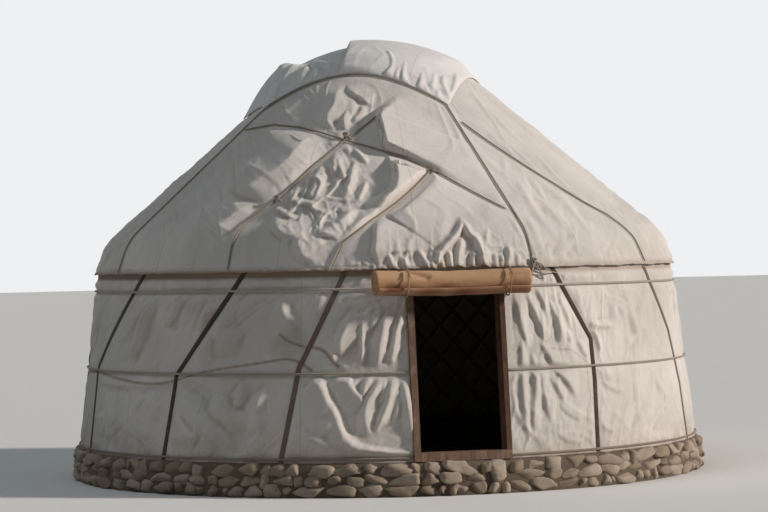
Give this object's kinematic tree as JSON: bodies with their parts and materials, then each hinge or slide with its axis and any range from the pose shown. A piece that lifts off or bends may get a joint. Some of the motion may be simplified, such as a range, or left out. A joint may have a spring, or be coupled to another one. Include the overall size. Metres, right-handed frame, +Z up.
{
  "type": "yurt",
  "caption": "Bent-pole felt yurt with a lattice wall, white canvas covers, rope lashings and a rolled door flap, on a low dry-stone plinth",
  "frame": {"origin": "bottom centre of the box, on the ground under the middle of the plinth", "axes": "+Z up, the doorway faces -Y, +X is to the right for someone who faces the door from outside"},
  "size_m": [5.77, 5.77, 3.8934],
  "materials": {
    "stone": "rough fieldstone",
    "timber": "oiled dark red-brown",
    "pale_timber": "peeled willow",
    "canvas": "white cotton canvas",
    "flap_canvas": "tan canvas, worn",
    "rope": "twisted wool rope",
    "strap": "woven wool band"
  },
  "bodies": {
    "root": {"plinth_front": "stone", "plinth_right": "stone", "plinth_back": "stone", "plinth_left": "stone", "door_threshold": "timber", "door_post_left": "timber", "door_post_right": "timber", "door_lintel": "timber", "roof_poles_front": "timber", "roof_poles_right": "timber", "roof_poles_back": "timber", "roof_poles_left": "timber", "crown_ring": "timber", "crown_laths": "timber", "lattice_section_1": "pale_timber", "lattice_section_2": "pale_timber", "lattice_section_3": "pale_timber", "lattice_section_4": "pale_timber", "lattice_section_5": "pale_timber", "wall_cover_front_left": "canvas", "wall_cover_front_right": "canvas", "wall_cover_back_left": "canvas", "wall_cover_back_right": "canvas", "wall_cover_over_door": "canvas", "roof_cover_front": "canvas", "roof_cover_right": "canvas", "roof_cover_back": "canvas", "roof_cover_left": "canvas", "crown_cover": "canvas", "door_flap_roll": "flap_canvas", "door_flap_ties": "rope", "wall_rope_low": "rope", "wall_rope_middle": "rope", "wall_rope_high": "rope", "roof_ropes_front": "rope", "roof_ropes_back": "rope", "wall_straps_left": "strap", "wall_straps_right": "strap", "wall_straps_back": "strap"}
  },
  "joints": []
}
